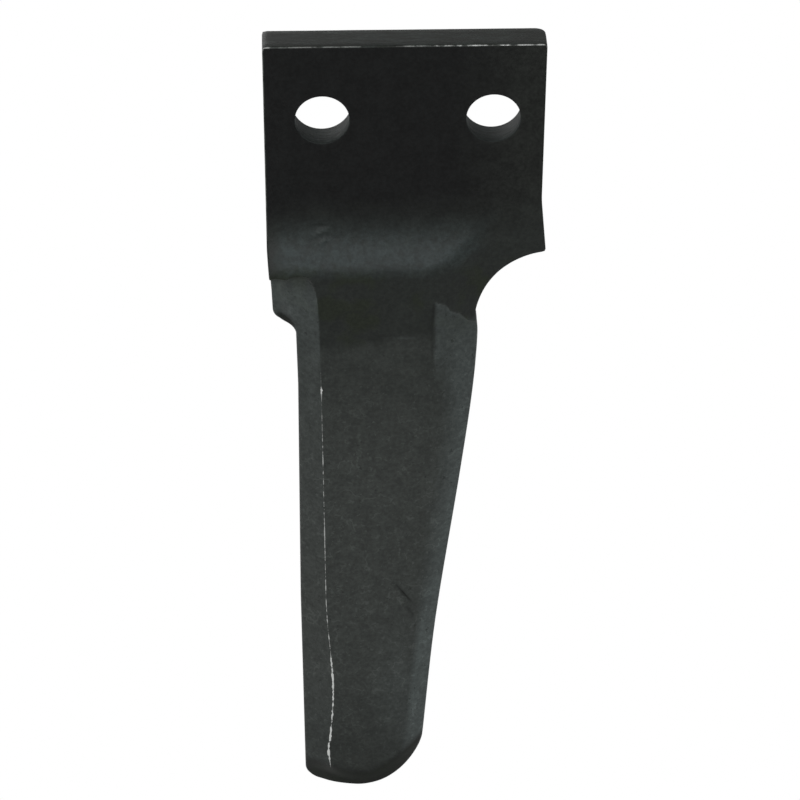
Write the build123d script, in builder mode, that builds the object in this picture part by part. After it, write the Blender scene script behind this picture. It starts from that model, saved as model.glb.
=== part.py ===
"""Power harrow blade: a forged tine with a flat two-bolt plate, a forward step and a tapering blade.

Millimetres. +Z is up, the plate is at the top and the blade hangs down from it.
The front of the blade faces -Y. The origin lies on the plate's back face, midway between the two bolt holes.
Heights are measured downwards from the holes, and widths to the right and left of their middle.
"""
from build123d import *
import os
from math import cos, radians, sin, tan

# Bolt plate
bolt_spacing = 60.0
hole_diameter = 19.0
hole_rim = 0.7  # rounding where the holes meet the plate's front face
hole_to_top = 29.6
plate_width = 98.8
plate_thickness = 12.0
pattern_shift = 1.2  # the holes' middle stands this far to the right of the plate's middle
lip_height = 56.3  # lowest corner of the plate, at the right
lip_flare = 1.6  # how far that corner spreads past the plate's right edge
lip_taper = 22.0  # height over which it spreads
edge_waist = 0.4  # how far the sheared right edge draws in above the lip
back_corner_radius = 2.5  # rolled corner between the plate's back and its right edge
top_edge_radius = 0.6

# Forward step between the plate and the blade
step_depth = 8.0
step_angle = 35.0
step_start = 47.2  # where the plate's front face would meet the slope
step_inner_radius = 20.0
step_outer_radius = 12.0
fold_thickness = 8.0  # least thickness behind the trailing bevel, where the step dies out to the right

# Blade
blade_length = 294.4
brow_height = 90.0  # where the front face begins to lean forward
brow_radius = 80.0
blade_lean = 2.2
toe_thickness = 9.5
blade_left = 39.5
toe_draw_in = 88.4  # height above the lowest point where the leading edge begins to draw in
toe_left = 38.0
blade_right = 25.8
swell_height = 92.0  # where the trailing edge stands furthest to the right
upper_right = 24.2
upper_share = 0.116  # share of the way from the swell down to the toe
middle_right = 19.2
middle_share = 0.338
lower_right = 10.9
lower_share = 0.687
toe_right = 5.6
toe_rise = 21.9  # height above the lowest point where the trailing edge meets the round of the toe
throat_radius = 29.3  # round cut-out under the plate's right corner
throat_end = 80.0
throat_edge = 25.0

# Shoulder, where the plate's left edge ends beside the blade
shoulder_start = 52.0
shoulder_inset = 0.5
shoulder_middle = 72.0
shoulder_draw_in = 2.0
shoulder_height = 80.5  # outer corner, before its rounding
shoulder_radius = 7.0
notch_height = 86.5  # inner corner, beside the leading edge
notch_radius = 4.0
notch_swell = 0.6  # the leading edge stands this much further out just below the notch
notch_end = 110.0

# Tip
heel_slope = 15.0  # the lower left edge rises this steeply from the lowest point
lowest_right = -17.5
heel_radius = 5.5
lowest_radius = 14.0
toe_radius = 29.3
tip_bevel_height = 9.5
tip_bevel_depth = 2.6
toe_bevel_slope = 36.0

# Bevel of the leading edge, on the left
lead_bevel_width = 7.3
lead_bevel_angle = 29.0
lead_bevel_draw = 4.2  # how far its ridge moves to the right on the way down
lead_bevel_start = 61.0
lead_bevel_radius = 8.0
ridge_margin = 0.4  # keeps the bevel's ridge clear of its round start

# Bevel of the trailing edge, on the right
trail_bevel_angle = 24.0
trail_ridge_top = 11.4
trail_ridge_brow = 9.6
trail_ridge_waist = 12.6
trail_waist_height = 120.0
trail_ridge_toe = -0.5
trail_toe_rise = 43.4  # height above the lowest point

overcut = 20.0  # how far the cutting shapes reach past the blade


def travel(run, angle):
    """How far a line moves sideways over a run when it leans by an angle."""
    return run * tan(radians(angle))


# Places worked out from the sizes above
plate_left = -plate_width / 2 - pattern_shift
plate_right = plate_width / 2 - pattern_shift
plate_front = -plate_thickness
blade_front = plate_front - step_depth
step_end = step_start + step_depth / tan(radians(step_angle))
bend_drop = travel(plate_thickness, step_angle / 2)
reach = blade_length + overcut
far_left = plate_left - overcut
far_right = plate_right + overcut
toe_height = blade_length - toe_rise
toe_start = blade_length - toe_draw_in
trail_toe_height = blade_length - trail_toe_rise
heel_height = blade_length - travel(lowest_right + toe_left, heel_slope)
lead_ridge = lead_bevel_width - blade_left


def front_at(height):
    """Where the blade's front face lies at a height below the holes, in Y."""
    return blade_front - travel(max(0, height - brow_height), blade_lean)


def below_swell(share):
    """The height below the holes at a share of the way from the trailing edge's swell to the toe."""
    return swell_height + share * (toe_height - swell_height)


def lead_section(height):
    """What the leading bevel takes away at a height: the part outside its slope."""
    ridge = lead_ridge + lead_bevel_draw * (height - lead_bevel_start) / (reach - lead_bevel_start)
    face = front_at(height)
    slope_end = face + travel(ridge - far_left, lead_bevel_angle)
    outside = face - overcut
    return ((far_left, slope_end), (ridge + overcut / tan(radians(lead_bevel_angle)), outside), (far_left, outside))


def fold_section(height, ridge):
    """The fold behind the trailing bevel at a height: as thick as the bar's fold, and never behind the plate."""
    run = tan(radians(trail_bevel_angle))
    face = front_at(height)
    back = face + fold_thickness / cos(radians(trail_bevel_angle))
    return (
        (ridge, face),
        (ridge + (plate_front - face) / run, plate_front),
        (far_right, plate_front),
        (far_right, 0),
        (ridge - back / run, 0),
        (ridge, back),
    )


def trail_section(height, ridge):
    """What the trailing bevel takes away at a height: what stands proud of its slope and of the plate."""
    run = tan(radians(trail_bevel_angle))
    face = front_at(height)
    outside = face - overcut
    return (
        (ridge - overcut / run, outside),
        (ridge + (plate_front - face) / run, plate_front),
        (far_right, plate_front),
        (far_right, outside),
    )


with BuildPart() as lead_cut:
    for height in (0, brow_height, reach):
        with BuildSketch(Plane.XY.offset(-height)):
            Polygon(*lead_section(height), align=None)
    loft(ruled=True)
    with BuildSketch(Plane.XZ) as tongue:
        with BuildLine():
            Polyline(
                (far_left, -lead_bevel_start),
                (lead_ridge + ridge_margin, -lead_bevel_start),
                (lead_ridge + ridge_margin + lead_bevel_draw, -reach),
                (far_left, -reach),
                close=True,
            )
        make_face()
        fillet(tongue.vertices().group_by(Axis.Y)[-1].sort_by(Axis.X)[-1], lead_bevel_radius)
    extrude(amount=plate_width, both=True, mode=Mode.INTERSECT)

trail_slide = (trail_ridge_waist - trail_ridge_toe) / (trail_toe_height - trail_waist_height)
trail_ridges = (
    (hole_diameter, trail_ridge_top),
    (step_end, trail_ridge_top),
    (brow_height, trail_ridge_brow),
    (trail_waist_height, trail_ridge_waist),
    (reach, trail_ridge_waist - trail_slide * (reach - trail_waist_height)),
)

with BuildPart() as trail_cut:
    for height, ridge in trail_ridges:
        with BuildSketch(Plane.XY.offset(-height)):
            Polygon(*trail_section(height, ridge), align=None)
    loft(ruled=True)

tip_slope = tip_bevel_depth / tip_bevel_height
tip_ridge = (lowest_right, front_at(blade_length - tip_bevel_height), tip_bevel_height - blade_length)
with BuildPart() as tip_cut:
    for rise in (heel_slope, -toe_bevel_slope):
        along = (cos(radians(rise)), 0, -sin(radians(rise)))
        with BuildSketch(Plane(origin=tip_ridge, x_dir=(0, 1, 0), z_dir=along)):
            Polygon(
                (-overcut * tip_slope, overcut),
                (overcut * tip_slope, -overcut),
                (-overcut, -overcut),
                (-overcut, overcut),
                align=None,
            )
        extrude(amount=plate_width, both=True)

with BuildSketch(Plane.YZ) as behind_front:
    with BuildLine():
        front_line = FilletPolyline(
            (plate_front, hole_to_top + overcut),
            (plate_front, -step_start),
            (blade_front, -step_end),
            (blade_front, -brow_height),
            (front_at(reach), -reach),
            radius=(step_inner_radius, step_outer_radius, brow_radius),
        )
        Polyline(front_line @ 0, (0, hole_to_top + overcut), (0, -reach), front_line @ 1)
    make_face()

with BuildPart() as trail_fold:
    for height, ridge in trail_ridges:
        with BuildSketch(Plane.XY.offset(-height)):
            Polygon(*fold_section(height, ridge), align=None)
    loft(ruled=True)
    extrude(behind_front.sketch, amount=plate_width, both=True, mode=Mode.INTERSECT)

with BuildPart() as harrow_blade:
    # Side view: plate, step and blade as one bent bar
    with BuildSketch(Plane.YZ) as side_view:
        with BuildLine():
            add(front_line)
            back_line = FilletPolyline(
                (0, hole_to_top + overcut),
                (0, -step_start - bend_drop),
                (-step_depth, -step_end - bend_drop),
                (-step_depth, -brow_height),
                (front_at(reach) + toe_thickness, -reach),
                radius=(step_outer_radius, step_inner_radius, brow_radius),
            )
            Line(front_line @ 0, back_line @ 0)
            Line(front_line @ 1, back_line @ 1)
        make_face()
    extrude(amount=plate_width, both=True)

    add(trail_fold.part)

    # Front view: the outline that the bar is sheared and forged to
    with BuildSketch(Plane.XZ) as front_view:
        with BuildLine():
            plate_edge = Polyline(
                (plate_left, hole_to_top),
                (plate_right, hole_to_top),
                (plate_right - edge_waist, lip_taper - lip_height),
                (plate_right + lip_flare, -lip_height),
            )
            throat = RadiusArc(plate_edge @ 1, (throat_edge, -throat_end), -throat_radius)
            trailing_edge = Spline(
                throat @ 1,
                (blade_right, -swell_height),
                (upper_right, -below_swell(upper_share)),
                (middle_right, -below_swell(middle_share)),
                (lower_right, -below_swell(lower_share)),
                (toe_right, -toe_height),
            )
            toe = RadiusArc(trailing_edge @ 1, (lowest_right, -blade_length), toe_radius)
            heel = FilletPolyline(
                toe @ 1,
                (-toe_left, -heel_height),
                (-blade_left, -toe_start),
                radius=heel_radius,
            )
            leading_edge = Line(heel @ 1, (-blade_left, -notch_end))
            shoulder = FilletPolyline(
                leading_edge @ 1,
                (-blade_left - notch_swell, -notch_height),
                (plate_left + shoulder_draw_in, -shoulder_height),
                (plate_left + shoulder_draw_in, -shoulder_middle),
                radius=(notch_radius, shoulder_radius),
            )
            Polyline(shoulder @ 1, (plate_left + shoulder_inset, -shoulder_start), (plate_left, hole_to_top))
        make_face()
        fillet(front_view.vertices().sort_by(Axis.Y)[0], lowest_radius)
    extrude(amount=plate_width, both=True, mode=Mode.INTERSECT)

    add(lead_cut.part, mode=Mode.SUBTRACT)
    add(trail_cut.part, mode=Mode.SUBTRACT)
    add(tip_cut.part, mode=Mode.SUBTRACT)

    # Bolt holes with softened front rims, then the plate's rolled corner and top edges
    with Locations(Plane.XZ):
        with Locations((-bolt_spacing / 2, 0), (bolt_spacing / 2, 0)):
            Hole(hole_diameter / 2)
    hole_walls = harrow_blade.faces(Select.LAST).filter_by(GeomType.CYLINDER)
    fillet(hole_walls.edges().filter_by(GeomType.CIRCLE).group_by(Axis.Y)[0], hole_rim)
    right_edges = harrow_blade.edges().filter_by(GeomType.LINE).filter_by(lambda edge: edge.length > plate_width / 2)
    fillet(right_edges.group_by(Axis.Y)[-1].sort_by(Axis.X)[-1], back_corner_radius)
    fillet(harrow_blade.edges().group_by(Axis.Z)[-1].filter_by(Axis.X), top_edge_radius)

harrow_blade.part.label = "harrow_blade"
os.makedirs("parts", exist_ok=True)
export_step(harrow_blade.part, "parts/harrow_blade.step")
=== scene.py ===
"""Power harrow blade: the finished look of one forged and black painted tine.

The geometry is worked out in millimetres in the part's own frame: +Z up, the front face towards -Y,
the origin on the plate's back face midway between the bolt holes. MM turns it into metres for Blender.
"""
from functools import partial

import bmesh
import bpy
import numpy as np
from bpy.props import FloatProperty, PointerProperty, StringProperty
from mathutils import Matrix, Vector


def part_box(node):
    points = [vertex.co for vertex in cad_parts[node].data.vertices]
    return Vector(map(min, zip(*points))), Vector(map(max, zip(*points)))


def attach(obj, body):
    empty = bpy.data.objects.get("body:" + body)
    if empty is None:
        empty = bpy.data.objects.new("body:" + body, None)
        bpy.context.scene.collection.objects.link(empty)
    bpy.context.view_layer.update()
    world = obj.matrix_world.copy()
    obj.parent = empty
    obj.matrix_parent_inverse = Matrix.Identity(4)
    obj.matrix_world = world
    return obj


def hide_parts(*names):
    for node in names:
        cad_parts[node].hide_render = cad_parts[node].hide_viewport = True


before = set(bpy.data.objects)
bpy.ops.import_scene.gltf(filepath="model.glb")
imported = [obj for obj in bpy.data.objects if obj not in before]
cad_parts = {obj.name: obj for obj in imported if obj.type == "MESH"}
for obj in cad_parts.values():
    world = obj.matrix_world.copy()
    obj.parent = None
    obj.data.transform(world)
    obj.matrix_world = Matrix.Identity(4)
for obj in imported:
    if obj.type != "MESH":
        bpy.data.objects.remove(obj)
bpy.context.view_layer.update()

bl_info = {
    "name": "Power Harrow Blade",
    "version": (1, 0, 0),
    "blender": (4, 5, 0),
    "location": "View3D > Sidebar > Harrow Blade",
    "description": "Builds a forged, black painted power harrow blade, its stage, lights and camera",
    "category": "Object",
}

MM = 0.001
NODE = "harrow_blade"

# Outline of the front view: corners as (x, z, rounding), from the middle of the top edge clockwise
PLATE_SIDE = (
    (0, 29.6, 0), (48.2, 29.6, 1), (47.8, -34.3, 40), (49.8, -56.3, 1), (28.6, -59.9, 28.9), (25, -80, 0),
)
TRAILING_SIDE = ((25, -80), (25.3, -84), (25.8, -92), (24.3, -113), (19.6, -153), (11.5, -216), (6.8, -272.5))
TIP_AND_LEADING_SIDE = (
    (6.8, -272.5, 0), (3.9, -289.3, 25.2), (-16.75, -293.9, 14), (-38.3, -293.2, 5.2), (-39.5, -206, 200),
    (-39.5, -110, 60), (-40.1, -85.3, 3.2), (-48.2, -84.5, 4.6), (-48.7, -72, 10), (-50.1, -52, 30),
    (-50.6, 29.6, 1), (0, 29.6, 0),
)
# Side view of the front and of the back: corners as (z, y, rounding)
FRONT_LINE = ((60, -12, 0), (-47.2, -12, 28), (-58.63, -20, 12), (-90, -20, 80), (-320, -28.84, 0))
BACK_LINE = ((60, 0, 0), (-50.98, 0, 12), (-62.41, -8, 20), (-90, -8, 80), (-320, -19.4, 0))
# Y of the plate's front face and of the upper blade's, and the least thickness anywhere
PLATE_FRONT = -12.0
BLADE_FRONT = -20.0
THINNEST = 2.3

# Right edge of the plate, (z, x), and the radius by which its corner with the back is rolled over
RIGHT_EDGE = ((29.6, 48.2), (-34.3, 47.8), (-56.3, 49.8))
ROLL_RADIUS = 4.0

# Bolt holes: place, radius, rounding of the rims, and the room that the ring of faces round a hole takes
HOLE_X = 30.0
HOLE_RADIUS = 9.5
HOLE_RIM = 0.45
HOLE_MARGIN = 2.6
# The front and back grids end this far inside the outline, and the edge profile goes on from there
EDGE_INSET = 0.9

# Ridge of the leading bevel: (z, x). It wanders a little, as the forging's ridge does
LEAD_RIDGE = (
    (-60, -32.4), (-71, -32.2), (-87, -31.6), (-110, -31.1), (-150, -30.6), (-203, -30), (-215, -29.5),
    (-227, -28.5), (-240, -27.7), (-250.5, -27.5), (-260, -28.1), (-269.8, -28.8), (-275, -29.7),
    (-282, -28.8), (-296, -28),
)
# Upper end of the leading bevel, (x, z) from the shoulder to the ridge, and its slope in degrees
LEAD_END = (
    (-52, -65.4), (-48.6, -64.4), (-47, -63.2), (-43.4, -62.3), (-41.9, -61.3), (-39.5, -60.8), (-37.8, -60.6),
    (-36.6, -60.9), (-35.4, -61.8), (-34.2, -63.3), (-33.4, -65.5), (-32.6, -68), (-32.1, -72), (-31, -84),
)
LEAD_SLOPE = 29.0
# The leading ridge's rounding, and how much it grows on the tip's bevel
LEAD_ROUND, LEAD_ROUND_AT_TIP = 0.1, 5.0

# Edge where the shoulder's side turns away from the bevel, (z, x), and the side's rise over run
SHOULDER_RIDGE = (
    (-60, -44.2), (-72, -43.4), (-76.6, -42.8), (-80, -41.4), (-83.9, -40.7), (-88, -40.2), (-96, -46),
)
SHOULDER_SLOPE = 0.3

# Ridge of the trailing bevel, (z, x), its slope in degrees, and the bar's thickness behind it
TRAIL_RIDGE = ((60, 11.4), (-58.6, 11.4), (-90, 9.6), (-120, 12.6), (-251, -0.5), (-320, -7.4))
TRAIL_SLOPE = 24.0
FOLD_THICKNESS = 8.0
# Rounding where the trailing bevel meets the step, where it meets the plate's level, and of the two folds at the back
HIP_BLEND, FLANK_BLEND, FOLD_TOP_BLEND, FOLD_BLEND = 3.0, 2.5, 1.2, 1.0

# Upper end of the pressed patch on the trailing bevel, (x, z), its left side and its depth
PATCH_END = ((9, -72), (14, -74.8), (15.5, -77.6), (19.2, -79.9), (22.2, -83.9), (24.8, -85.1), (27, -85.6))
PATCH_LEFT = 9.9
PATCH_DEPTH = 0.55

# Upper edge of the tip's bevel, (x, z), its rise over run and the rounding of that edge
TIP_RIDGE = (
    (-42, -282.4), (-37.5, -281.8), (-32.1, -281), (-28.6, -282), (-19.7, -284.5), (-13.5, -284.6),
    (-7.3, -280.8), (-1.1, -276.2), (2.3, -273.2), (12, -265),
)
TIP_SLOPE = 0.22
TIP_ROUND = 0.25

# Marks in the front: (depth, x, z, half length, half width, turn). The deep ones get painted shade, and the raised
# ones, whose depth is below zero, a painted highlight
MARKS = (
    (0.35, -31, -43.4, 2.6, 0.6, 4), (-0.40, -31.2, -45.5, 2.6, 0.5, 24), (0.30, -30.2, -47.2, 2, 0.5, 16),
    (-0.35, -29.6, -48.6, 2.2, 0.5, 20), (0.26, -28.6, -48.6, 2.8, 0.5, 70), (0.20, -25.6, -47.6, 2.2, 0.5, 6),
    (0.50, -0.6, -201.2, 5.2, 0.55, -55), (0.28, 1.8, -209.6, 3.2, 0.7, -66), (-0.10, -0.6, -87.2, 5, 0.5, -2),
)
# How dark the painted shade in a deep mark gets, and how light the painted highlight on a raised one, for each mm
GROOVE_SHADE, CREST_HIGHLIGHT = 1.8, 1.6

# How far the leading arris is rubbed bare: heights and the share there, and a bright speck's height, size and share
ARRIS_WEAR = (
    (-285, -282, -276, -262, -236, -226, -200, -150, -112, -103, -98),
    (0, 0.5, 1.1, 0.85, 1, 0.6, 0.5, 0.52, 0.36, 0.3, 0),
)
ARRIS_SPECK = (-109.6, 1.1, 0.8)
# How far the plate's top front edge is rubbed bare: x and the share there
TOP_WEAR = ((-47, -43, -2, 12), (1, 0.35, 0.35, 1))
# How light the leading and the trailing bevels' paint is, partly thin paint and partly painted highlight: heights and
# the share there
LEAD_TONE = ((-290, -250, -215, -140, -98, -84, -70, -63), (0.15, 0.08, 0, 0.12, 0.28, 0.48, 0.55, 0.15))
FLANK_TONE = ((-290, -272, -245, -205, -160, -110, -88), (0.2, 0.8, 1.3, 1.3, 0.95, 0.75, 0.6))
# How light the pressed patch's paint is, partly thin paint and partly painted highlight
PATCH_TONE = 0.48
# The steepest fall of the step's slope, as fall over run
STEEPEST = 0.7

# Spacing of the outline's points in mm, rows of the front grid, its columns left of the leading ridge, between the
# ridges and right of the trailing ridge, and how they crowd
OUTLINE_STEP = 0.1
ROWS = 420
COLUMNS = (16, 64, 36)
CROWDING = (1.5, 1.35, 1.4)
# Steps in the rounding and in the wall of an edge profile
ROUND_STEPS = 5
WALL_DEPTHS = (0.2, 0.4, 0.6, 0.8)
# A distance that stands for far away
FAR = 50.0

# The camera: two angles round the blade and a turn about its own axis, the point it looks at in mm, its distance in m
CAMERA_ANGLES = (-1.9606, 35.348, 0.342)
CAMERA_AIM = (-2.19, -12, -120.2)
CAMERA_DISTANCE = 1.4678
LENS, SENSOR = 180.0, 36.0
# The point the lamps look at, in metres
LIGHT_AIM = (0, -0.02, -0.13)


def rounded_line(corners, steps=24):
    """A run of straight lines with rounded corners.

    A corner that turns by t and is rounded by r is cut back by r tan(t/2) on both sides. The arc between the cuts
    is start + r (sin a along the way in + (1 - cos a) towards the inside), for a from 0 to t.
    """
    corners = np.array(corners, float)
    points, radius = corners[:, :2], corners[1:-1, 2]
    run = np.diff(points, axis=0)
    run /= np.linalg.norm(run, axis=1)[:, None]
    way_in, way_out = run[:-1], run[1:]
    turn = np.arccos(np.clip((way_in * way_out).sum(1), -1, 1)) + 1e-9
    inside = (way_out - way_in * np.cos(turn)[:, None]) / np.sin(turn)[:, None]
    start = points[1:-1] - way_in * (radius * np.tan(turn / 2))[:, None]
    a = turn[:, None] * np.linspace(0, 1, steps)
    arcs = start[:, None] + radius[:, None, None] * (
        np.sin(a)[..., None] * way_in[:, None] + (1 - np.cos(a))[..., None] * inside[:, None]
    )
    return np.concatenate([points[:1], arcs.reshape(-1, 2), points[-1:]])


def smooth_run(points, steps=24):
    """A smooth curve through points: a cubic on each run, whose slope at a point is half its neighbours' difference."""
    p = np.array(points, float)
    slope = np.gradient(p, axis=0)
    t = np.linspace(0, 1, steps, endpoint=False)[None, :, None]
    a, b, m, n = p[:-1, None], p[1:, None], slope[:-1, None], slope[1:, None]
    curve = a * (1 + 2 * t) * (1 - t) ** 2 + m * t * (1 - t) ** 2 + b * t * t * (3 - 2 * t) + n * t * t * (t - 1)
    return np.concatenate([curve.reshape(-1, 2), p[-1:]])


def along(table, value):
    """Reads a table of (place, size) pairs at any place, with straight lines between the pairs."""
    table = np.array(table, float)
    table = table[np.argsort(table[:, 0], kind="stable")]
    return np.interp(value, table[:, 0], table[:, 1])


def eased(table, value, width):
    """The same reading, averaged over a width, which rounds the table's corners."""
    offsets = np.linspace(-0.5, 0.5, 7) * width
    return sum(along(table, value + o) for o in offsets) / len(offsets)


def lead_ridge(z):
    """X of the leading bevel's ridge at a height."""
    return eased(LEAD_RIDGE, z, 5.0)


def trail_ridge(z):
    """X of the trailing bevel's ridge at a height."""
    return eased(TRAIL_RIDGE, z, 14.0)


def shoulder_ridge(z):
    """X of the edge where the shoulder's side turns away, at a height."""
    return eased(SHOULDER_RIDGE, z, 3.0)


def tip_ridge(x):
    """Height of the upper edge of the tip's bevel at a place across the blade."""
    return eased(TIP_RIDGE, x, 3.0)


def above(value, level, width):
    """0 below a level and 1 above it, with a smooth S, t t (3 - 2 t), of the given width between them."""
    t = np.clip((value - level) / width + 0.5, 0, 1)
    return t * t * (3 - 2 * t)


def below(value, level, width):
    """The same S turned round: 1 below a level and 0 above it."""
    return above(-value, -level, width)


def deeper(a, b, blend):
    """The larger of two surfaces, with their crossing rounded over a blend in millimetres."""
    near = np.clip(1 - np.abs(a - b) / blend, 0, 1)
    return np.maximum(a, b) + near * near * blend / 4


def nearer(a, b, blend):
    """The smaller of two surfaces, with their crossing rounded over a blend in millimetres."""
    return -deeper(-a, -b, blend)


def undulation(x, z, size, seed):
    """Smooth bumps between -1 and 1: random heights on a square lattice of a size, eased between its corners."""
    heights = np.random.default_rng(seed).uniform(-1, 1, (256, 256))
    i, j = np.floor(x / size).astype(int), np.floor(z / size).astype(int)
    u, v = x / size - i, z / size - j
    u, v = u * u * (3 - 2 * u), v * v * (3 - 2 * v)
    i, j, k, m = i % 256, j % 256, (i + 1) % 256, (j + 1) % 256
    return (heights[i, j] * (1 - u) + heights[k, j] * u) * (1 - v) + (heights[i, m] * (1 - u) + heights[k, m] * u) * v


def dent(x, z, at_x, at_z, long, wide, turn):
    """1 in the middle of an oval spot and 0 outside it: exp(-(along/long)^2 - (across/wide)^2)."""
    c, s = np.cos(np.radians(turn)), np.sin(np.radians(turn))
    a = (x - at_x) * c + (z - at_z) * s
    b = (z - at_z) * c - (x - at_x) * s
    return np.exp(-((a / long) ** 2) - (b / wide) ** 2)


def lead_zone(x, z):
    """1 on the leading bevel and 0 above its rounded upper end, which is soft at the shoulder and sharp further in.

    Below z = -70 the bevel has no limit to its right, because its slope ends by itself at the ridge.
    """
    soft = np.interp(x, (-50.0, -43.0), (8.0, 0.7))
    right_end = -31.5 + 40.0 * below(z, -70.0, 6.0)
    return below(z, eased(LEAD_END, x, 0.6), soft) * below(x, right_end, 1.0)


def patch_zone(x, z):
    """1 on the pressed patch of the trailing bevel. It begins at an edge and fades out downwards."""
    return below(z, along(PATCH_END, x), 0.7) * above(x, PATCH_LEFT, 0.6) * above(z, -102.0, 18.0)


def front_line(z):
    """The side view's front line at a height, and how far it leans forward of the blade's upper face, both in Y."""
    face = along(rounded_line(FRONT_LINE), z)
    return face, face - np.maximum(face, BLADE_FRONT)


def front_surface(x, z, relief):
    """Where the front lies, in Y, over any point of the front view.

    It starts as the deeper of two surfaces: the side view's front line, and the trailing bevel, which falls away to the
    right of its ridge at TRAIL_SLOPE until it is level with the plate. The leading bevel, which falls away to the left
    of its ridge at LEAD_SLOPE, the shoulder's side, the tip's bevel, the pressed patch and the relief are added to it.
    Half of d plus the root of d squared plus r squared rounds a ridge by r, where d is the distance past it.
    """
    face, lean = front_line(z)
    fall = np.tan(np.radians(TRAIL_SLOPE)) * (x - trail_ridge(z))
    fall = nearer(fall, PLATE_FRONT - BLADE_FRONT - lean, FLANK_BLEND)
    # The crossing is rounded only below the plate, over the first 4 mm of the step
    step_share = np.clip((PLATE_FRONT - face) / 4.0, 0.001, 1)
    surface = deeper(face, BLADE_FRONT + lean + fall, HIP_BLEND * step_share)
    below_tip = tip_ridge(x) - z
    left = lead_ridge(z) - x
    left = (left + np.hypot(left, LEAD_ROUND + LEAD_ROUND_AT_TIP * above(below_tip, 3.0, 9.0))) / 2
    bevel = np.tan(np.radians(LEAD_SLOPE)) * left
    bevel += SHOULDER_SLOPE * np.maximum(0, shoulder_ridge(z) - x) * above(z, -90.0, 6.0)
    surface = surface + bevel * lead_zone(x, z)
    tip = TIP_SLOPE * np.maximum(0, below_tip)
    surface = surface + np.hypot(tip, TIP_ROUND) - TIP_ROUND + PATCH_DEPTH * patch_zone(x, z)
    return surface + relief * forging_relief(x, z)


def forging_relief(x, z):
    """Unevenness of the front, inwards: long waves, a pitted grain, a hammered field near the tip and single marks.

    Waves and grain belong to the forged part, below z = -50. The rolled plate has one faint long wave of its own.
    """
    forged = below(z, -50.0, 12.0)
    hammered = np.exp(-(((x + 7.0) / 11.0) ** 2) - ((z + 243.0) / 20.0) ** 2)
    waves = 0.10 * (1 + undulation(x, z, 23.0, 3)) + 0.05 * (1 + undulation(x, z, 9.0, 5))
    grain = (0.025 + 0.035 * above(z, -62.0, 6.0)) * (1 + undulation(x, z, 2.3, 7))
    blows = 0.16 * np.abs(undulation(x + 0.5 * z, z, 4.2, 11)) * hammered
    marks = sum(deep * dent(x, z, *spot) for deep, *spot in MARKS)
    return forged * (waves + grain + blows) + marks + 0.02 * (1 + undulation(x, z, 14.0, 13))


def back_surface(x, z):
    """Where the back lies, in Y.

    It is the deeper of the side view's back line and the fold of the bar behind the trailing bevel, which runs
    FOLD_THICKNESS behind that bevel and ends in the plate's back face. The rolled corner at the right is a quarter of a
    circle, R minus the root of R squared minus d squared, and two faint undulations keep the face from being too even.
    """
    lean = front_line(z)[1]
    slope = np.radians(TRAIL_SLOPE)
    fold = BLADE_FRONT + lean + FOLD_THICKNESS / np.cos(slope) + np.tan(slope) * (x - trail_ridge(z))
    fold = nearer(fold, np.zeros_like(x), FOLD_TOP_BLEND)
    surface = np.minimum(deeper(along(rounded_line(BACK_LINE), z), fold, FOLD_BLEND), 0.0)
    into_roll = np.clip(ROLL_RADIUS - along(RIGHT_EDGE, z) + x, 0, 0.99 * ROLL_RADIUS) * above(z, -57.0, 2.0)
    rolled = ROLL_RADIUS - np.sqrt(ROLL_RADIUS**2 - into_roll**2)
    return surface - rolled - 0.05 * (1 + undulation(x, z, 17.0, 17)) - 0.02 * (1 + undulation(x, z, 3.0, 19))


def press_and_highlight_zone(x, z):
    """How light the paint is: thin pressed paint with a painted highlight on the bevels and the patch, and only a
    painted highlight along the shoulder's edge and on raised marks.
    """
    lead = lead_zone(x, z) * below(x, lead_ridge(z), 0.8) * np.interp(z, *LEAD_TONE)
    # A painted highlight along the shoulder's edge: exp(-(distance/width)^2)
    shoulder = np.exp(-(((x - shoulder_ridge(z)) / 0.75) ** 2)) * below(z, -73.0, 4.0) * above(z, -86.5, 4.0)
    # Raised marks get a painted highlight
    crests = sum(-CREST_HIGHLIGHT * deep * dent(x, z, *spot) for deep, *spot in MARKS if deep < 0)
    return np.maximum.reduce([lead, PATCH_TONE * patch_zone(x, z), shoulder, flank_light(x, z), crests])


def flank_light(x, z):
    """How light the trailing bevel's paint is, partly thin paint and partly painted highlight: from its ridge
    outwards, with an edge that sharpens downwards.

    A faint oval beside the ridge, near the tip, is lighter too.
    """
    wide = np.interp(z, (-225.0, -185.0), (4.5, 11.0))
    outwards = above(x, trail_ridge(z) + 1.0 + wide / 3.6, wide)
    faint = 0.3 * dent(x, z, -1.0, -248.0, 9.0, 24.0, 0.0)
    return np.maximum(outwards * np.interp(z, *FLANK_TONE), faint) * below(z, -84.0, 6.0)


def painted_shade_zone(x, z):
    """1 where shade is painted: the tip's bevel, the hollow under the shoulder, the patch's left side and deep marks.
    """
    tip = below(z, tip_ridge(x) - 0.6, 4.5)
    hollow = 1.6 * dent(x, z, -43.8, -83.4, 3.0, 1.7, -18.0)
    seam = 0.5 * np.exp(-(((x - PATCH_LEFT + 0.4) / 0.7) ** 2)) * above(z, -95.0, 8.0) * below(z, -73.0, 3.0)
    # Deep marks get painted shade
    grooves = sum(GROOVE_SHADE * deep * dent(x, z, *spot) for deep, *spot in MARKS if deep > 0)
    return np.minimum(np.maximum.reduce([tip, hollow, seam, grooves]), 1.0)


def bend_highlight_zone(x, z):
    """Painted highlight over the step: the front's fall over 0.8 mm as a share of STEEPEST.

    A faint oval where the step turns into the trailing bevel gets the painted highlight too.
    """
    reach = 0.4
    fall = (front_surface(x, z + reach, 0.0) - front_surface(x, z - reach, 0.0)) / (2 * reach)
    hip = 0.35 * dent(x, z, 22.0, -54.0, 8.0, 4.0, 50.0)
    return hip + np.clip(fall / STEEPEST, 0, 1) * above(x, -46.5, 7.0) * above(z, -70.0, 10.0)


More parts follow.
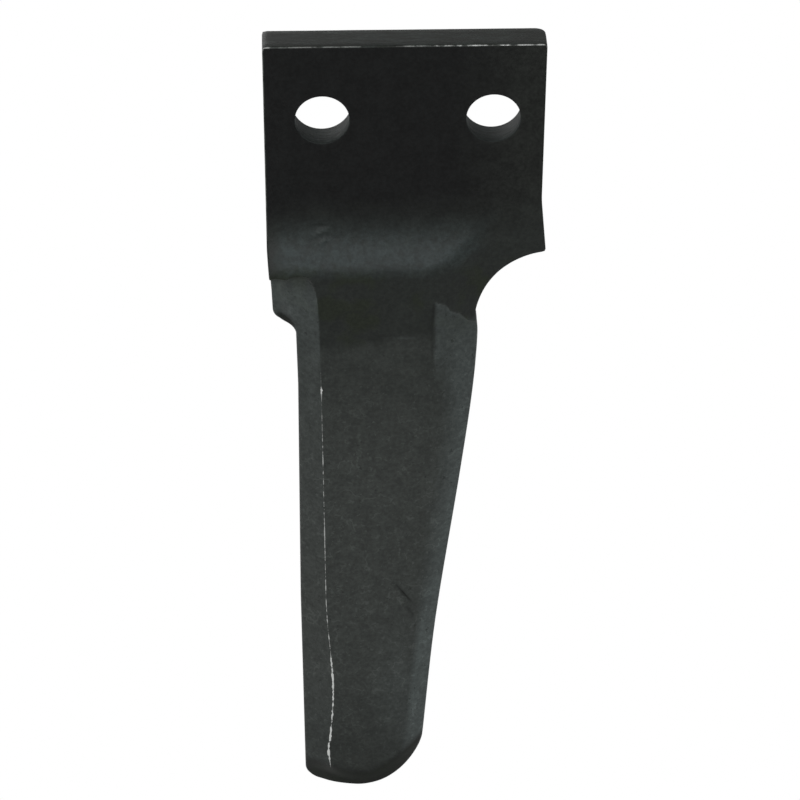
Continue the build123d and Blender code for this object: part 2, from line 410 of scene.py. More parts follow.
def rubbed_zone(x, z):
    """How far the edges are rubbed bare: the plate's top, the upper trailing edge and a little of the left edge."""
    return np.maximum.reduce([
        above(z, 28.0, 1.5) * np.interp(x, *TOP_WEAR),
        0.5 * above(x, 22.0, 3.0) * below(z, -82.0, 4.0) * above(z, -104.0, 10.0),
        0.3 * below(x, -46.0, 2.0) * above(z, -45.0, 20.0),
    ])


def paint_zones(x, y, z, inset, relief):
    """The paint's zones: shares between 0 and about 1, and distances in mm where the name says so.

    in_front holds 1 mm or more in front of the back. edge_mm is the inset from the outline plus most of the depth
    below the front, so that it grows both ways from the front edge.
    """
    in_front = y < back_surface(x, z) - 1.0
    by_hole = np.hypot(np.abs(x) - HOLE_X, z) < HOLE_RADIUS + 2.0
    below_front = np.clip(y - front_surface(x, z, relief), 0, FAR)
    speck_z, speck_size, speck_share = ARRIS_SPECK
    speck = speck_share * np.exp(-(((z - speck_z) / speck_size) ** 2))
    return {
        "edge_mm": inset + 0.8 * below_front,
        "ridge_mm": np.where(in_front, np.abs(x - lead_ridge(z)), FAR),
        # Thin paint and painted highlight on bevels and patch, painted highlight on the shoulder's edge and crests
        "press": press_and_highlight_zone(x, z) * in_front,
        "cut": (1 - by_hole) * below(inset, 0.45, 0.3),
        # Painted highlight over the step's slope
        "bend": bend_highlight_zone(x, z) * in_front,
        # Painted shade
        "shade": painted_shade_zone(x, z) * in_front,
        "bore": by_hole * (inset < 0.2),
        "arris": in_front * (np.interp(z, *ARRIS_WEAR) + speck),
        "rubbed": rubbed_zone(x, z),
    }


def outline_path():
    """The front view's outline as evenly spaced points, clockwise from the top left, and their inward directions.

    The way along at a point is the run from the point before it to the one after, and inwards is to the right of it.
    """
    parts = rounded_line(PLATE_SIDE)[:-1], smooth_run(TRAILING_SIDE)[:-1], rounded_line(TIP_AND_LEADING_SIDE)
    loop = np.concatenate(parts)
    length = np.concatenate([[0], np.cumsum(np.hypot(*np.diff(loop, axis=0).T))])
    count = int(length[-1] / OUTLINE_STEP)
    place = np.arange(count) * length[-1] / count
    points = np.stack([np.interp(place, length, loop[:, i]) for i in (0, 1)], axis=1)
    points = np.roll(points, -np.argmax(points[:, 1] - points[:, 0]), axis=0)
    run = np.roll(points, -1, axis=0) - np.roll(points, 1, axis=0)
    run /= np.linalg.norm(run, axis=1)[:, None]
    return points, np.stack([run[:, 1], -run[:, 0]], axis=1)


def read_loop(values, place):
    """Reads a closed loop of evenly spaced values at places between them."""
    closed = np.vstack([values, values[:1]])
    index = np.arange(len(closed))
    return np.stack([np.interp(place, index, closed[:, i]) for i in (0, 1)], axis=-1)


def face_grid(points, inward):
    """The grid over the front view, as points and as places on the outline for its four sides.

    Rows are level lines from one side of the inset outline to the other. Their density follows how far the outline runs
    sideways at a height, so that row ends are never far apart, and is higher where the leading bevel begins. The last
    row is the outline's lowest stretch. Columns divide each row in three, between the left side, the leading ridge, the
    trailing ridge and the right side: 1 - (1 - t)^p crowds them towards a part's right end, and t^p towards its left.
    """
    inner = points + EDGE_INSET * inward
    corner, bottom = np.argmax(inner.sum(axis=1)), np.argmin(inner[:, 1])
    places = np.arange(len(inner))
    z = np.linspace(inner[corner, 1], inner[bottom, 1] + 1.0, 6000)
    right = np.interp(-z, np.maximum.accumulate(-inner[corner:bottom, 1]), places[corner:bottom])
    left = np.interp(z, np.maximum.accumulate(inner[bottom:, 1]), places[bottom:])
    stretch = np.maximum(np.abs(np.gradient(right, z)), np.abs(np.gradient(left, z))) * OUTLINE_STEP
    density = np.maximum(1.0, np.minimum(stretch, 8.0)) * (1.0 + 1.6 * above(z, -68.0, 3.0) * below(z, -58.0, 3.0))
    measure = np.cumsum(density)
    row = np.interp(np.linspace(measure[0], measure[-1], ROWS + 1), measure, np.arange(len(z)))
    z, right, left = (np.interp(row, np.arange(len(z)), a) for a in (z, right, left))
    left_x, right_x = read_loop(inner, left)[:, 0], read_loop(inner, right)[:, 0]
    width = right_x - left_x
    lead = np.clip((lead_ridge(z) - left_x) / width, 0.05, 0.6)
    trail = np.clip((trail_ridge(z) - left_x) / width, lead + 0.1, 0.96)
    t = [np.linspace(0, 1, n, endpoint=False) for n in COLUMNS]
    share = np.concatenate([
        lead[:, None] * (1 - (1 - t[0]) ** CROWDING[0]),
        lead[:, None] + (trail - lead)[:, None] * t[1] ** CROWDING[1],
        trail[:, None] + (1 - trail)[:, None] * (1 - (1 - t[2]) ** CROWDING[2]),
        np.ones((len(z), 1)),
    ], axis=1)
    grid = np.stack([left_x[:, None] + share * width[:, None], np.repeat(z[:, None], share.shape[1], axis=1)], axis=-1)
    top = share[0] * corner
    low = left[-1] - share[-1] * (left[-1] - right[-1])
    grid[0], grid[-1] = read_loop(inner, top), read_loop(inner, low)
    left[0] = len(inner)
    return grid, np.concatenate([top, right[1:], low[-2::-1], left[-2:0:-1]])


def border(index):
    """The closed loop round a block of a grid's indices: along the top, down, back along the bottom and up."""
    return np.concatenate([index[0], index[1:, -1], index[-1, -2::-1], index[-2:0:-1, 0]])


def cells(index, keep=None):
    """The four-sided faces of a grid of indices, or those of them that are kept."""
    quads = np.stack([index[:-1, :-1], index[1:, :-1], index[1:, 1:], index[:-1, 1:]], axis=-1)
    return (quads if keep is None else quads[keep]).reshape(-1, 4)


def band(first, second):
    """The faces between two closed loops with as many points each."""
    return np.stack([first, np.roll(first, -1), np.roll(second, -1), second], axis=-1)


def half_band(dense, coarse):
    """The faces between a closed loop and one with half as many points: a triangle and a four-sided face in turn."""
    middle, after = dense[1::2], np.roll(dense[::2], -1)
    triangles = np.stack([dense[::2], middle, coarse], axis=-1)
    return triangles, np.stack([middle, after, np.roll(coarse, -1), coarse], axis=-1)


def hole_block(grid, centre):
    """The even rows and columns that frame a bolt hole: (first row, last row, first column, last column)."""
    margin = HOLE_RADIUS + HOLE_MARGIN
    rows = [2 * round(np.abs(grid[:, 0, 1] - z).argmin() / 2) for z in (margin, -margin)]
    middle = grid[np.abs(grid[:, 0, 1]).argmin(), :, 0]
    return (*rows, *(2 * round(np.abs(middle - x).argmin() / 2) for x in (centre - margin, centre + margin)))


def blade_surface(relief, edge_round, hole_flare):
    """The whole blade as one closed surface: points in mm, faces, and each point's inset from the outline.

    Front and back are the same grid lifted to front_surface and back_surface, with every second line at the back.
    A profile is carried round the outline: an edge of radius edge_round, the wall, and another such edge. Round each
    bolt hole the grid's block is drawn in to a circle, and a profile of rim, wall and rim is carried round it. Over the
    last seven tenths of its depth a hole widens by hole_flare, as a punched hole does.
    """
    points, inward = outline_path()
    grid, places = face_grid(points, inward)
    blocks, faces3, faces4, insets = [], [], [], []
    total = 0

    def lay(xz, y, inset):
        """Adds points and returns their indices."""
        nonlocal total
        block = np.concatenate([xz[..., :1], y[..., None], xz[..., 1:]], axis=-1).reshape(-1, 3)
        blocks.append(block)
        insets.append(np.broadcast_to(inset, xz.shape[:-1]).reshape(-1))
        total += len(block)
        return np.arange(total - len(block), total).reshape(xz.shape[:-1])

    def back(xz):
        return back_surface(xz[..., 0], xz[..., 1])

    def front(xz):
        return np.minimum(front_surface(xz[..., 0], xz[..., 1], relief), back(xz) - THINNEST)

    def carry(start, across, radius, end, flare=0.0):
        """Carries an edge profile round a loop, from the front grid's border to the back grid's border.

        Each ring of points has an inset, a depth from 0 at the front to 1 at the back, and a drop towards the middle.
        On a rounding the inset is r (1 - sin a) and the drop r (1 - cos a), for a from 0 to 90 degrees.
        """
        last = start
        quarter = np.radians(np.linspace(0, 90, ROUND_STEPS))
        rings = [(radius * (1 - np.sin(a)), 0, radius * (1 - np.cos(a))) for a in quarter]
        rings += [(0, depth, 0) for depth in WALL_DEPTHS]
        rings += [(radius * (1 - np.sin(a)), 1, -radius * (1 - np.cos(a))) for a in quarter[::-1]]
        for inset, depth, drop in rings:
            xz = across(inset + flare * max(0.0, depth - 0.3) / 0.7)
            shallow, deep = front(xz), back(xz)
            if depth in (0, 1):
                y = (deep if depth else shallow) + drop
            else:
                y = shallow + radius + depth * (deep - radius - shallow - radius)
            ring = lay(xz, y, inset)
            faces4.append(band(last, ring))
            last = ring
        triangles, quads = half_band(last, end)
        faces3.append(triangles)
        faces4.append(quads)

    near = np.minimum(grid[..., 0] - grid[:, :1, 0], grid[:, -1:, 0] - grid[..., 0])
    near = EDGE_INSET + np.minimum(near, grid[0, 0, 1] - grid[..., 1])
    front_index = lay(grid, front(grid), near)
    coarse = grid[::2, ::2]
    back_index = lay(coarse, back(coarse), near[::2, ::2])
    keep, back_keep = (np.ones((len(g) - 1, g.shape[1] - 1), bool) for g in (grid, coarse))
    edge, edge_inward = read_loop(points, places), read_loop(inward, places)
    carry(border(front_index), lambda inset: edge + inset * edge_inward, edge_round, border(back_index))
    for centre in (-HOLE_X, HOLE_X):
        top, bottom, left, right = hole_block(grid, centre)
        keep[top:bottom, left:right] = False
        back_keep[top // 2:bottom // 2, left // 2:right // 2] = False
        block = slice(top, bottom + 1), slice(left, right + 1)
        half_block = slice(top // 2, bottom // 2 + 1), slice(left // 2, right // 2 + 1)
        frame_xz = np.stack([border(grid[block][..., i]) for i in (0, 1)], axis=-1)
        out = frame_xz - (centre, 0)
        out /= np.linalg.norm(out, axis=1)[:, None]
        last = border(front_index[block])
        for t in (0.25, 0.5, 0.75):
            xz = frame_xz * (1 - t) + t * (out * (HOLE_RADIUS + HOLE_RIM) + (centre, 0))
            ring = lay(xz, front(xz), EDGE_INSET * 3)
            faces4.append(band(last, ring))
            last = ring

        def circle(inset, out=out, centre=centre):
            return out * (HOLE_RADIUS + inset) + (centre, 0)

        carry(last, circle, HOLE_RIM, border(back_index[half_block]), hole_flare)
    faces4 += [cells(front_index, keep), cells(back_index, back_keep)]
    return np.concatenate(blocks), np.concatenate(faces4), np.concatenate(faces3), np.concatenate(insets)


def face_outwards(mesh):
    """Turns all the faces of a closed mesh outwards, and raises an error if it is open."""
    work = bmesh.new()
    work.from_mesh(mesh)
    if not all(edge.is_manifold for edge in work.edges):
        raise RuntimeError("The surface isn't closed")
    bmesh.ops.recalc_face_normals(work, faces=work.faces)
    work.to_mesh(mesh)
    work.free()


def paint_linear(code):
    """Turns an sRGB hex colour into the linear colour that Blender's sockets take."""
    channels = np.array([int(code[i:i + 2], 16) for i in (1, 3, 5)]) / 255
    linear = np.where(channels <= 0.04045, channels / 12.92, ((channels + 0.055) / 1.055) ** 2.4)
    return (*map(float, linear), 1.0)


def add_node(tree, kind, given, out=0):
    """Adds a shader node of a kind, such as Math, and returns one of its outputs.

    A key in given is a property's name, or a socket's name or number. A value that is another node's output is linked
    to that socket, and any other value is set.
    """
    made = tree.nodes.new("ShaderNode" + kind)
    for key, value in given.items():
        if isinstance(value, bpy.types.NodeSocket):
            tree.links.new(value, made.inputs[key])
        elif isinstance(key, str) and hasattr(made, key):
            setattr(made, key, value)
        else:
            made.inputs[key].default_value = value
    return made.outputs[out]


def new_material(name):
    """An empty node material and its tree, with the output node."""
    material = bpy.data.materials.new(name)
    material.use_nodes = True
    material.node_tree.nodes.clear()
    return material, material.node_tree, material.node_tree.nodes.new("ShaderNodeOutputMaterial")


def painted_forging_material(finish):
    """Black paint sprayed on a forged bar.

    The plate keeps the bar's smooth rolled face, so its paint is darkest and evenest, with drawn streaks on its sheared
    edges and rings in the punched holes. Below the step the hot forging left scale and a coarse grain, which the thin
    paint shows as a greyer, blotchy satin with small pits, light flecks and creases. The pressed bevels are lighter
    still, partly from thin paint and partly from a painted highlight. A painted highlight also lies over the step's
    slope, on raised marks and along the shoulder's edge, and painted shade on the tip's bevel, under the shoulder,
    beside the patch and in deep marks. On the arris, and along the plate's top edge, the paint is rubbed off down to
    steel.
    """
    material, tree, output = new_material("Black paint on forged steel")
    add = partial(add_node, tree)
    keys = [key for key in finish.bl_rna.properties.keys() if key.endswith("_hex")]
    paint = {key.removesuffix("_hex"): paint_linear(getattr(finish, key)) for key in keys}
    zones = ("edge_mm", "ridge_mm", "press", "cut", "bend", "shade", "bore", "arris", "rubbed")
    zone = {name: add("Attribute", {"attribute_name": name}, "Fac") for name in zones}

    # The place on the blade, and the same drawn out along the sheared edges and round the bores
    place = add("TexCoord", {}, "Object")
    drawn, turned = (
        add("VectorMath", {"operation": "MULTIPLY", 0: place, 1: (s, 1.0, s)}) for s in (0.12, 0.22)
    )
    across, up = (add("SeparateXYZ", {0: place}, axis) for axis in "XZ")

    # Noise patterns: size in mm, detail, roughness and the place each reads. Real scale and paint grain are finer than
    # 1.5 and 0.7 mm, and are drawn this coarse so that they show
    patterns = {
        "cloud": (26.0, 3, 0.55, place), "blotch": (6.0, 4, 0.6, place), "grain": (1.5, 5, 0.65, place),
        "grit": (0.7, 2, 0.55, place), "olive": (12.0, 3, 0.55, place), "bend": (2.4, 4, 0.6, place),
        "crease": (8.5, 3, 0.5, place), "pit": (2.6, 4, 0.7, place), "fleck": (1.7, 3, 0.55, place),
        "streak": (1.1, 4, 0.65, drawn), "ring": (1.3, 4, 0.7, turned), "arris": (3.2, 4, 0.7, place),
        "rubbed": (7.0, 4, 0.7, place),
    }
    noise = {
        name: add("TexNoise", {"Vector": where, "Scale": 1000.0 / size, "Detail": detail, "Roughness": rough})
        for name, (size, detail, rough, where) in patterns.items()
    }

    # Height in metres, made to wander by up to a centimetre so that no tone ends in a straight line, and how far the
    # crease pattern is from its middle, which draws thin winding lines
    off_middle = add("Math", {"operation": "SUBTRACT", 0: noise["cloud"], 1: 0.5})
    height = add("Math", {"operation": "MULTIPLY_ADD", 0: off_middle, 1: 0.02, 2: up})
    winding = add("Math", {"operation": "SUBTRACT", 0: noise["crease"], 1: 0.5})
    winding = add("Math", {"operation": "ABSOLUTE", 0: winding})

    # Soft steps: what each reads, the two values it runs between, and what it gives at them if not 0 and 1
    steps = {
        "plate_right": (across, 0.012, 0.048),
        "upper_blade": (height, -0.086, -0.094),
        "long_face": (height, -0.095, -0.150),
        "toe": (height, -0.232, -0.288, 0.0, 0.65),
        "scaled": (height, -0.030, -0.050),
        "olive_low": (height, -0.094, -0.082),
        "olive_high": (height, -0.056, -0.062),
        "creases_low": (height, -0.100, -0.150, 0.3, 0.85),
        "flecks_low": (height, -0.086, -0.100, 0.0, 0.5),
        "olive": (noise["olive"], 0.46, 0.60),
        "bend": (noise["bend"], 0.30, 0.70, 0.45, 1.25),
        "blotch": (noise["blotch"], 0.32, 0.68, 0.0, 0.45),
        "grain": (noise["grain"], 0.33, 0.67, 0.0, 0.55),
        "crease": (winding, 0.022, 0.004),
        "creased": (noise["blotch"], 0.46, 0.60),
        "pit": (noise["pit"], 0.37, 0.31, 0.0, 0.65),
        "fleck": (noise["fleck"], 0.60, 0.72),
        "satin": (noise["blotch"], 0.2, 0.8, finish.roughness - 0.05, finish.roughness + 0.05),
        "plate_blotch": (noise["blotch"], 0.3, 0.7, 0.0, 0.5),
        "plate_grain": (noise["grain"], 0.3, 0.7, 0.0, 0.5),
        "plate_satin": (zone["bore"], 0.0, 1.0, 0.45, 0.7),
        "streak": (noise["streak"], 0.42, 0.64),
        "ring": (noise["ring"], 0.30, 0.70),
        "arris": (noise["arris"], 0.38, 0.62, 0.06, 0.56),
        "rubbed": (noise["rubbed"], 0.44, 0.60, 0.06, 0.61),
        "rim": (zone["edge_mm"], 0.47, 0.36),
    }
    step = {
        name: add("MapRange", {"interpolation_type": "SMOOTHSTEP", **dict(enumerate(numbers))})
        for name, numbers in steps.items()
    }

    # Shares that are products. scaled is where the forging's scaled surface takes over from the plate's smooth
    # one, and it gives way where shade is painted, so that the painted shade takes the plate's duller paint
    unshaded = add("Math", {"operation": "SUBTRACT", "use_clamp": True, 0: 1.0, 1: zone["shade"]})
    products = {
        "olive": (step["olive"], step["olive_low"], step["olive_high"]),
        "bend": (zone["bend"], step["bend"]),
        "crease": (step["crease"], step["creased"], step["creases_low"]),
        "fleck": (step["fleck"], step["flecks_low"]),
        "scaled": (step["scaled"], unshaded),
        "rim": (step["rim"], zone["rubbed"], step["rubbed"]),
    }
    share = {}
    for name, (product, *factors) in products.items():
        for factor in factors:
            product = add("Math", {"operation": "MULTIPLY", "use_clamp": True, 0: product, 1: factor})
        share[name] = product

    # Tones of the paint from the step down the blade, and the same made darker and lighter by a factor. The step's
    # slope takes a painted highlight, and the bevels a lighter colour that is partly a painted highlight
    tone = paint["band"]
    for fac, colour, kind in (
        (step["upper_blade"], paint["scale"], "MIX"), (step["long_face"], paint["blade"], "MIX"),
        (step["toe"], paint["band"], "MIX"), (share["olive"], paint["olive"], "MULTIPLY"),
        (share["bend"], paint["bend"], "MIX"), (zone["press"], paint["press"], "MIX"),
    ):
        tone = add("Mix", {"data_type": "RGBA", "blend_type": kind, 0: fac, 6: tone, 7: colour}, 2)
    mottled, light, crest, fleck = (
        add("HueSaturation", {"Value": factor, "Color": tone}) for factor in (0.76, 1.24, 1.6, 1.9)
    )

    # The scaled forging: blotches and grain, creases, pits and flecks, over a grainy relief
    speckle = add("Math", {"operation": "ADD", "use_clamp": True, 0: step["blotch"], 1: step["grain"]})
    for fac, colour in (
        (speckle, light), (share["crease"], crest), (step["pit"], paint["band"]), (share["fleck"], fleck),
    ):
        mottled = add("Mix", {"data_type": "RGBA", 0: fac, 6: mottled, 7: colour}, 2)
    relief = add("Math", {"operation": "MULTIPLY", 0: noise["grit"], 1: 0.3})
    relief = add("Math", {"operation": "MULTIPLY_ADD", 0: noise["grain"], 1: 0.7, 2: relief})
    grainy = add("Bump", {"Strength": finish.grain_strength, "Distance": 0.2 * MM, "Height": relief})
    scaled = add("BsdfPrincipled", {
        "Metallic": 0.0, "IOR": 1.5, "Specular IOR Level": finish.sheen_level,
        "Base Color": mottled, "Roughness": step["satin"], "Normal": grainy,
    })

    # The rolled plate: dark and even, with streaked sheared edges and rings in the bores. It also carries the colour
    # of the painted shade, which the blade's shaded places take too
    plate = paint["plate"]
    streaked = add("Mix", {"data_type": "RGBA", 0: step["streak"], 6: paint["shade"], 7: paint["cut"]}, 2)
    for fac, colour in (
        (step["plate_right"], paint["plate_right"]), (zone["bore"], paint["bore"]), (zone["shade"], paint["shade"]),
        (zone["cut"], streaked),
    ):
        plate = add("Mix", {"data_type": "RGBA", 0: fac, 6: plate, 7: colour}, 2)
    even = add("Math", {"operation": "ADD", 0: step["plate_blotch"], 1: step["plate_grain"]})
    even = add("Mix", {"data_type": "FLOAT", 0: zone["bore"], 2: even, 3: step["ring"]})
    dark, light = (add("HueSaturation", {"Value": factor, "Color": plate}) for factor in (0.5, 1.5))
    plate = add("Mix", {"data_type": "RGBA", 0: even, 6: dark, 7: light}, 2)
    rings = add("Math", {"operation": "SUBTRACT", 0: step["ring"], 1: noise["grit"]})
    fine = add("Math", {"operation": "MULTIPLY_ADD", 0: zone["bore"], 1: rings, 2: noise["grit"]})
    fine = add("Bump", {"Strength": 0.35, "Distance": 0.1 * MM, "Height": fine})
    smooth = add("BsdfPrincipled", {
        "Metallic": 0.0, "IOR": 1.5, "Specular IOR Level": finish.plate_sheen_level,
        "Base Color": plate, "Roughness": step["plate_satin"], "Normal": fine,
    })
    painted = add("MixShader", {0: share["scaled"], 1: smooth, 2: scaled})

    # Bare steel: a broken line along the arris, as wide as its share says, and patches along the rims
    steel = add("BsdfPrincipled", {
        "Base Color": paint["steel"], "Metallic": 1.0, "Roughness": 0.42, "Normal": grainy,
    })
    half_width = add("Math", {"operation": "MULTIPLY", 0: zone["arris"], 1: step["arris"]})
    inside = add("Math", {"operation": "SUBTRACT", 0: half_width, 1: zone["ridge_mm"]})
    inside = add("MapRange", {"interpolation_type": "SMOOTHSTEP", 0: inside, 1: 0.0, 2: 0.16})
    bare = add("Math", {"operation": "MULTIPLY_ADD", "use_clamp": True, 0: zone["arris"], 1: 1.1, 2: 0.05})
    bare = add("Math", {"operation": "MULTIPLY", 0: inside, 1: bare})
    worn = add("Math", {"operation": "ADD", "use_clamp": True, 0: bare, 1: share["rim"]})
    surface = add("MixShader", {0: worn, 1: painted, 2: steel})
    tree.links.new(surface, output.inputs["Surface"])
    return material


def seen_directly(tree):
    """1 for a ray that comes from the camera, from a reflection or through glass, and 0 for one that only lights."""
    camera, glossy, glass = (
        add_node(tree, "LightPath", {}, f"Is {kind} Ray") for kind in ("Camera", "Glossy", "Transmission")
    )
    either = add_node(tree, "Math", {"operation": "MAXIMUM", 0: camera, 1: glossy})
    return add_node(tree, "Math", {"operation": "MAXIMUM", 0: either, 1: glass})


def pale_floor_material(colour_hex):
    """Matt white laminate: it keeps the object's soft shadow, and shows as even white where it is seen directly."""
    material, tree, output = new_material("Matt white laminate")
    matt = add_node(tree, "BsdfDiffuse", {"Color": paint_linear(colour_hex)})
    white = add_node(tree, "Emission", {"Color": (1.0, 1.0, 1.0, 1.0), "Strength": 1.0})
    shown = add_node(tree, "MixShader", {0: seen_directly(tree), 1: matt, 2: white})
    tree.links.new(shown, output.inputs["Surface"])
    return material


class HarrowBladeShape(bpy.types.PropertyGroup):
    """Sizes of the blade's finished surface."""

    relief: FloatProperty(
        name="Forging relief", description="How strongly the forged unevenness shows",
        default=1.0, min=0.0, max=2.0, subtype="FACTOR")
    edge_round: FloatProperty(
        name="Edge rounding", description="Radius along the blade's outer edges",
        default=0.7 * MM, min=0.1 * MM, max=0.85 * MM, precision=5, unit="LENGTH")
    hole_flare: FloatProperty(
        name="Hole widening", description="How much wider in radius the punched holes are at the back",
        default=0.9 * MM, min=0.0, max=1.5 * MM, precision=5, unit="LENGTH")


class HarrowBladeFinish(bpy.types.PropertyGroup):
    """Colours, as sRGB hex values, and gloss of the black paint and of the steel where it is rubbed off."""

    plate_hex: StringProperty(
        name="Plate paint", description="Paint on the smooth bolt plate", default="#101111")
    plate_right_hex: StringProperty(
        name="Plate paint, right", description="Thinner paint towards the plate's right edge", default="#1d1f1d")
    bore_hex: StringProperty(
        name="Bore paint", description="Paint in the bolt holes", default="#282c2b")
    cut_hex: StringProperty(
        name="Sheared edge", description="Light streaks on the plate's sheared edges", default="#202623")
    # Painted shade on the tip's bevel, under the shoulder, beside the patch and in deep marks
    shade_hex: StringProperty(
        name="Painted shade", description="Painted shade on the tip's bevel, under the shoulder and in deep marks", default="#060b05")
    band_hex: StringProperty(
        name="Step paint", description="Paint on the forged step", default="#222523")
    scale_hex: StringProperty(
        name="Upper blade paint", description="Paint where the scaled face of the blade begins", default="#2e312f")
    blade_hex: StringProperty(
        name="Blade paint", description="Paint on the long face of the blade", default="#363937")
    # Lighter paint on the bevels, partly a painted highlight, and a painted highlight on the shoulder's edge and crests
    press_hex: StringProperty(
        name="Bevel paint", description="Paint and painted highlight on the pressed bevels", default="#4a504f")
    # Painted highlight over the step's slope, lighter where the front falls more steeply
    bend_highlight_hex: StringProperty(
        name="Bend highlight", description="Painted highlight over the slope of the step", default="#333a3a")
    olive_hex: StringProperty(
        name="Olive cast", description="Cast that the paint's warmer blotches are multiplied by", default="#ecf2d6")
    steel_hex: StringProperty(
        name="Bare steel", description="Steel where the paint is rubbed off", default="#b4b6b4")
    roughness: FloatProperty(
        name="Roughness", description="Roughness of the satin paint",
        default=0.42, min=0.1, max=1.0, subtype="FACTOR")
    sheen_level: FloatProperty(
        name="Specular level", description="Strength of the paint's gloss on the forging",
        default=0.1, min=0.0, max=1.0, subtype="FACTOR")
    plate_sheen_level: FloatProperty(
        name="Plate specular level", description="Strength of the paint's gloss on the plate",
        default=0.09, min=0.0, max=1.0, subtype="FACTOR")
    grain_strength: FloatProperty(
        name="Grain", description="Strength of the fine grain under the paint",
        default=0.8, min=0.0, max=1.0, subtype="FACTOR")


class HarrowBladeStage(bpy.types.PropertyGroup):
    """The floor and the lights."""

    floor_drop: FloatProperty(
        name="Floor", description="How far the floor lies below the blade's tip",
        default=0.15, min=0.0, max=1.0, unit="LENGTH")
    floor_hex: StringProperty(
        name="Floor colour", description="Colour of the floor, as an sRGB hex value", default="#e9e9e7")
    world_strength: FloatProperty(
        name="Room light", description="Strength of the even light from all round",
        default=0.018, min=0.0, max=1.0, subtype="FACTOR")
    key_watts: FloatProperty(
        name="Front softbox", description="Power of the softbox above the camera",
        default=22.8, min=0.0, max=200.0, unit="POWER")
    back_watts: FloatProperty(
        name="Back softbox", description="Power of the softbox behind and above",
        default=1.05, min=0.0, max=200.0, unit="POWER")
    rear_watts: FloatProperty(
        name="Rear softbox", description="Power of the low softbox behind",
        default=8.0, min=0.0, max=200.0, unit="POWER")
    side_watts: FloatProperty(
        name="Left softbox", description="Power of the low softbox on the left",
        default=4.2, min=0.0, max=200.0, unit="POWER")


class HARROW_OT_blade(bpy.types.Operator):
    """Builds the forged blade with its bevels, marks and paint."""

    bl_idname = "harrow.blade"
    bl_label = "Build the blade"

    def execute(self, context):
        shape, finish = context.scene.harrow_shape, context.scene.harrow_finish
        points, quads, triangles, inset = blade_surface(shape.relief, shape.edge_round / MM, shape.hole_flare / MM)
        # Points that no face uses, inside the holes' blocks, are dropped
        used, renamed = np.unique(np.concatenate([quads.ravel(), triangles.ravel()]), return_inverse=True)
        quads, triangles = renamed[:quads.size].reshape(-1, 4), renamed[quads.size:].reshape(-1, 3)
        points, inset = points[used], inset[used]
        mesh = bpy.data.meshes.new("forged_blade")
        mesh.from_pydata(points * MM, [], [*quads.tolist(), *triangles.tolist()])
        face_outwards(mesh)
        for name, value in paint_zones(*points.T, inset, shape.relief).items():
            mesh.attributes.new(name, "FLOAT", "POINT").data.foreach_set("value", value.astype(np.float32))
        mesh.shade_smooth()
        mesh.materials.append(painted_forging_material(finish))
        blade = bpy.data.objects.new("forged_blade", mesh)
        context.scene.collection.objects.link(blade)
        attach(blade, "root")
        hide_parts(NODE)
        return {"FINISHED"}


def soft_light(scene, name, place, size, watts):
    """A square or oblong softbox of a size in metres at a place in metres, turned towards the middle of the blade."""
    lamp = bpy.data.lights.new(name, "AREA")
    lamp.shape, (lamp.size, lamp.size_y), lamp.energy = "RECTANGLE", size, watts
    made = bpy.data.objects.new(name, lamp)
    scene.collection.objects.link(made)
    made.location = place
    made.rotation_euler = (Vector(LIGHT_AIM) - Vector(place)).to_track_quat("-Z", "Y").to_euler()


def camera_place():
    """Where the camera stands: its distance in the direction that the two angles give, turned about its own axis."""
    azimuth, elevation, turn = np.radians(CAMERA_ANGLES)
    back = Vector((np.sin(azimuth) * np.cos(elevation), -np.cos(azimuth) * np.cos(elevation), np.sin(elevation)))
    right = Vector((np.cos(azimuth), np.sin(azimuth), 0.0))
    up = back.cross(right)
    turned_right = right * np.cos(turn) + up * np.sin(turn)
    turned_up = up * np.cos(turn) - right * np.sin(turn)
    axes = Matrix((turned_right, turned_up, back)).transposed().to_4x4()
    return Matrix.Translation(Vector(CAMERA_AIM) * MM + back * CAMERA_DISTANCE) @ axes


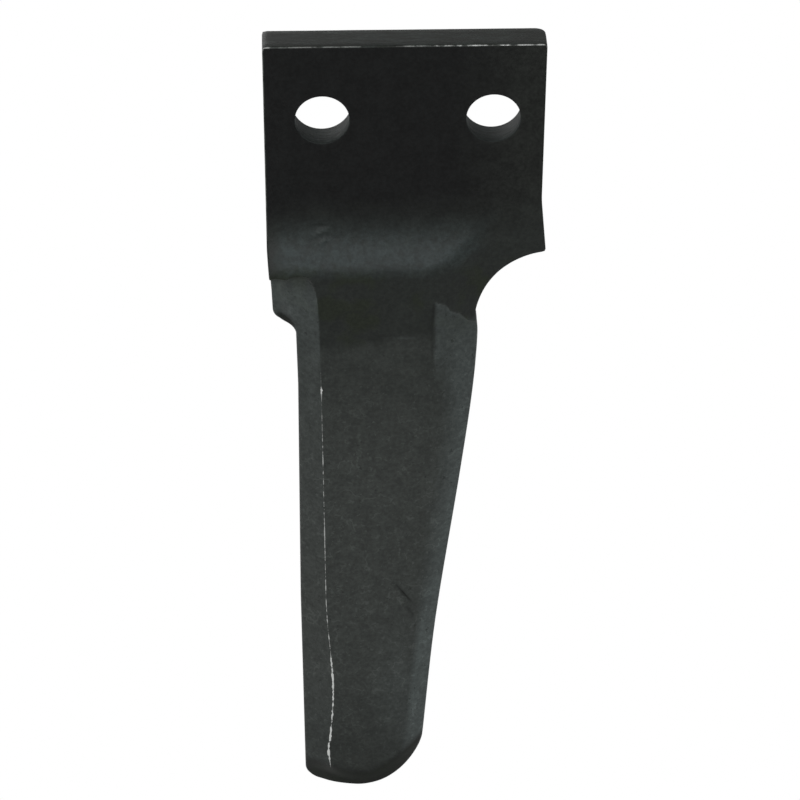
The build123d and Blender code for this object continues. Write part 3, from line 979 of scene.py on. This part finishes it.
class HARROW_OT_stage(bpy.types.Operator):
    """Sets the floor, the soft lights and the camera."""

    bl_idname = "harrow.stage"
    bl_label = "Set the stage"

    def execute(self, context):
        scene, stage = context.scene, context.scene.harrow_stage
        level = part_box(NODE)[0].z - stage.floor_drop
        u, v = np.meshgrid(np.linspace(-3.0, 3.0, 13), np.linspace(-3.0, 4.0, 15))
        corners = np.stack([u, v, np.full_like(u, level)], axis=-1).reshape(-1, 3)
        mesh = bpy.data.meshes.new("floor")
        mesh.from_pydata(corners, [], cells(np.arange(u.size).reshape(u.shape)).tolist())
        mesh.materials.append(pale_floor_material(stage.floor_hex))
        floor = bpy.data.objects.new("floor", mesh)
        scene.collection.objects.link(floor)
        # The world is white where it is seen, and lights the blade only faintly
        world = bpy.data.worlds.new("Studio")
        world.use_nodes = True
        tree = world.node_tree
        background = tree.nodes["Background"]
        background.inputs["Color"].default_value = (1.0, 1.0, 1.0, 1.0)
        seen = {"Value": seen_directly(tree), "To Min": stage.world_strength, "To Max": 1.0}
        tree.links.new(add_node(tree, "MapRange", seen), background.inputs["Strength"])
        scene.world = world
        for name, place, size, watts in (
            ("front_softbox", (-0.05, -1.56, 0.84), (1.2, 1.4), stage.key_watts),
            ("back_softbox", (0.1, 1.2, 0.9), (1.0, 1.0), stage.back_watts),
            ("rear_softbox", (-0.5, 1.4, 0.1), (0.9, 0.9), stage.rear_watts),
            ("left_softbox", (-1.3, -0.8, -0.2), (0.6, 0.6), stage.side_watts),
        ):
            soft_light(scene, name, place, size, watts)
        scene.view_settings.view_transform = "Standard"
        lens = bpy.data.cameras.new("camera")
        lens.sensor_width, lens.lens = SENSOR, LENS
        camera = bpy.data.objects.new("camera", lens)
        scene.collection.objects.link(camera)
        camera.matrix_world = camera_place()
        scene.camera = camera
        return {"FINISHED"}


class HARROW_PT_panel(bpy.types.Panel):
    """Lists the steps and the settings in the 3D view's sidebar."""

    bl_label = "Harrow Blade"
    bl_idname = "HARROW_PT_panel"
    bl_space_type = "VIEW_3D"
    bl_region_type = "UI"
    bl_category = "Harrow Blade"

    def draw(self, context):
        scene = context.scene
        for groups, operator in (
            ((scene.harrow_shape, scene.harrow_finish), HARROW_OT_blade), ((scene.harrow_stage,), HARROW_OT_stage),
        ):
            box = self.layout.box()
            for settings in groups:
                for key in settings.bl_rna.properties.keys():
                    if key not in ("rna_type", "name"):
                        box.prop(settings, key)
            box.operator(operator.bl_idname)


CLASSES = (HarrowBladeShape, HarrowBladeFinish, HarrowBladeStage, HARROW_OT_blade, HARROW_OT_stage, HARROW_PT_panel)


def register():
    """Registers the classes and hangs the settings on the scene."""
    for cls in CLASSES:
        bpy.utils.register_class(cls)
    bpy.types.Scene.harrow_shape = PointerProperty(type=HarrowBladeShape)
    bpy.types.Scene.harrow_finish = PointerProperty(type=HarrowBladeFinish)
    bpy.types.Scene.harrow_stage = PointerProperty(type=HarrowBladeStage)


def unregister():
    """Takes the settings off the scene and removes the classes."""
    for name in ("harrow_shape", "harrow_finish", "harrow_stage"):
        delattr(bpy.types.Scene, name)
    for cls in reversed(CLASSES):
        bpy.utils.unregister_class(cls)


def main():
    """Builds the blade and its stage."""
    register()
    bpy.ops.harrow.blade()
    bpy.ops.harrow.stage()


if __name__ == "__main__":
    main()
